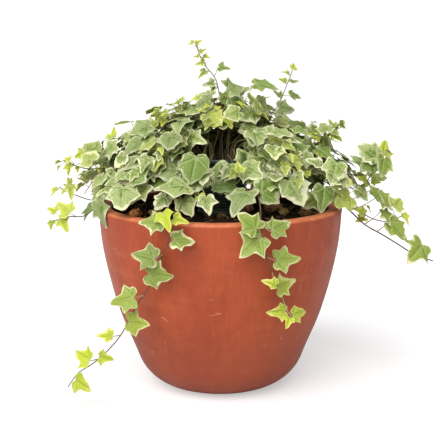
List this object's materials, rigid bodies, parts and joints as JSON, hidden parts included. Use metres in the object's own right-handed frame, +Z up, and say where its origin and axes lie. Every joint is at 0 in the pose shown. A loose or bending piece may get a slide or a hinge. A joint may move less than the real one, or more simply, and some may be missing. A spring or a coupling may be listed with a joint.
{
  "type": "potted ivy",
  "caption": "Variegated trailing ivy in a small ribbed nursery pot, set on a bark-covered bed inside a wide curved terracotta planter with a flat rim.",
  "frame": {"origin": "middle of the flat underside of the planter, on its axis", "axes": "+Z up along the planter's axis, the pictured front faces -Y, +X to the right in the pictured view"},
  "size_m": [0.4827, 0.3893, 0.4315],
  "materials": {
    "terracotta": "satin",
    "mulch": "rough",
    "bark": "rough",
    "green_plastic": "satin",
    "potting_soil": "rough",
    "ivy": "satin"
  },
  "bodies": {
    "root": {"outer_planter": "terracotta", "mulch_bed": "mulch", "bark_chip_1": "bark", "bark_chip_2": "bark", "bark_chip_3": "bark", "bark_chip_4": "bark", "bark_chip_5": "bark", "bark_chip_6": "bark", "bark_chip_7": "bark", "bark_chip_8": "bark", "nursery_pot": "green_plastic", "nursery_soil": "potting_soil", "front_left_runner": "ivy", "front_right_runner": "ivy", "right_long_runner": "ivy", "right_second_runner": "ivy", "right_upper_runner": "ivy", "upper_right_runner": "ivy", "left_top_runner": "ivy", "left_low_runner": "ivy", "left_middle_runner": "ivy", "left_shoot": "ivy", "right_shoot": "ivy", "front_middle_runner": "ivy", "front_right_inner_runner": "ivy", "right_front_runner": "ivy", "right_rim_runner": "ivy", "right_inner_runner": "ivy", "left_front_inner_runner": "ivy", "left_front_middle_runner": "ivy", "left_front_runner": "ivy", "left_inner_runner": "ivy", "left_back_runner": "ivy", "upper_left_runner": "ivy", "centre_left_runner": "ivy", "crown_left_shoot": "ivy", "crown_middle_shoot": "ivy", "crown_right_shoot": "ivy", "right_back_runner": "ivy", "right_middle_back_runner": "ivy", "right_back_low_runner": "ivy", "back_right_runner": "ivy", "back_right_upper_runner": "ivy", "back_right_trailing_runner": "ivy", "back_upper_runner": "ivy", "back_runner": "ivy", "back_left_trailing_runner": "ivy", "back_left_upper_runner": "ivy", "back_left_runner": "ivy", "left_back_low_runner": "ivy", "crown_back_shoot": "ivy", "crown_back_right_shoot": "ivy", "crown_back_left_shoot": "ivy", "left_front_upper_runner": "ivy", "right_front_upper_runner": "ivy"}
  },
  "joints": []
}
